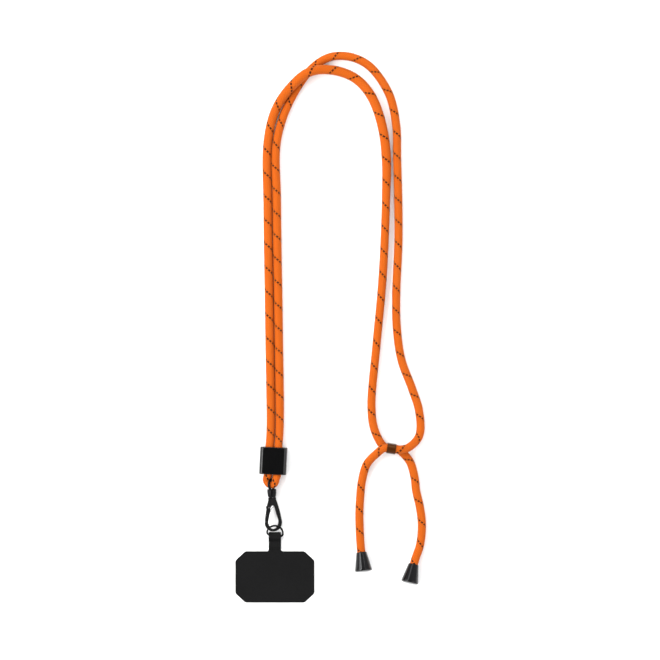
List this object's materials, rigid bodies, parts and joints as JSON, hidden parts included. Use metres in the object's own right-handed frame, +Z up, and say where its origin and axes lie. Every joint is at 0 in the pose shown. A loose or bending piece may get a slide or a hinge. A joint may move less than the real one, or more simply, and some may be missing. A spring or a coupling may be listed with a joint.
{
  "type": "phone lanyard",
  "caption": "Long adjustable orange rope strap with a slider band, bell ends, a clamped swivel snap hook, a D-ring and a flat tether patch for a phone case.",
  "frame": {"origin": "under the middle of the tether patch, on the plane that the lanyard lies on", "axes": "+Z up from that plane, +Y from the patch towards the neck loop, +X towards the slider band's side"},
  "size_m": [0.1447, 0.4181, 0.0146],
  "materials": {
    "rope": "round braided polyester, orange with one black tracer, matt with a soft sheen",
    "band": "near-black moulded plastic, satin gloss",
    "bell": "black moulded plastic, high gloss",
    "clamp": "black moulded plastic, gloss",
    "hook": "die-cast zinc, plated gun black, satin gloss",
    "steel": "plain turned steel and spring wire",
    "patch": "charcoal sheet with a fine matt grain"
  },
  "bodies": {
    "rigging": {"rope_tail_right": "rope", "rope_run_inner": "rope", "rope_hook_loop": "rope", "rope_run_outer": "rope", "rope_tail_left": "rope", "rope_knot_left": "rope", "rope_knot_right": "rope", "clamp_rear_shell": "clamp", "clamp_front_shell": "clamp", "end_cap_left": "bell", "end_cap_lid_left": "bell", "end_cap_right": "bell", "end_cap_lid_right": "bell"},
    "slider": {"slider_band": "band"},
    "eye": {"swivel_eye": "hook"},
    "hook": {"hook_body": "hook", "swivel_rivet": "steel", "gate_pin": "steel", "gate_spring": "steel"},
    "gate": {"hook_gate": "hook"},
    "ring": {"d_ring": "hook"},
    "patch": {"phone_patch": "patch"}
  },
  "joints": [
    {"name": "slider_slide", "type": "slide", "parent": "rigging", "child": "slider", "axis": [0.989, -0.1478, 0], "range_m": [-0.001, 0.001]},
    {"name": "eye_swing", "type": "hinge", "parent": "rigging", "child": "eye", "pos_m": [-0.0027, 0.0742, 0.00495], "axis": [-0.4994, -0.0293, 0.8659], "range_deg": [-60, 60]},
    {"name": "hook_swivel", "type": "hinge", "parent": "eye", "child": "hook", "pos_m": [-0.00202, 0.06077, 0.00489], "axis": [-0.0507, 0.9987, 0.0046], "continuous": true},
    {"name": "gate_hinge", "type": "hinge", "parent": "hook", "child": "gate", "pos_m": [-0.00485, 0.05311, 0.00678], "axis": [0.5144, 0.0222, 0.8573], "range_deg": [0, 24], "stiffness_Nm_per_rad": 0.01, "springref_deg": -34.38, "deforming": ["gate_spring"]},
    {"name": "ring_swing", "type": "hinge", "parent": "hook", "child": "ring", "pos_m": [-0.00105, 0.0417, 0.0048], "axis": [0.5144, 0.0222, 0.8573], "range_deg": [-40, 40]},
    {"name": "patch_fold", "type": "hinge", "parent": "ring", "child": "patch", "pos_m": [-0.00015, 0.0314, 0.0019], "axis": [0.9903, -0.1392, 0], "range_deg": [-90, 90]}
  ]
}
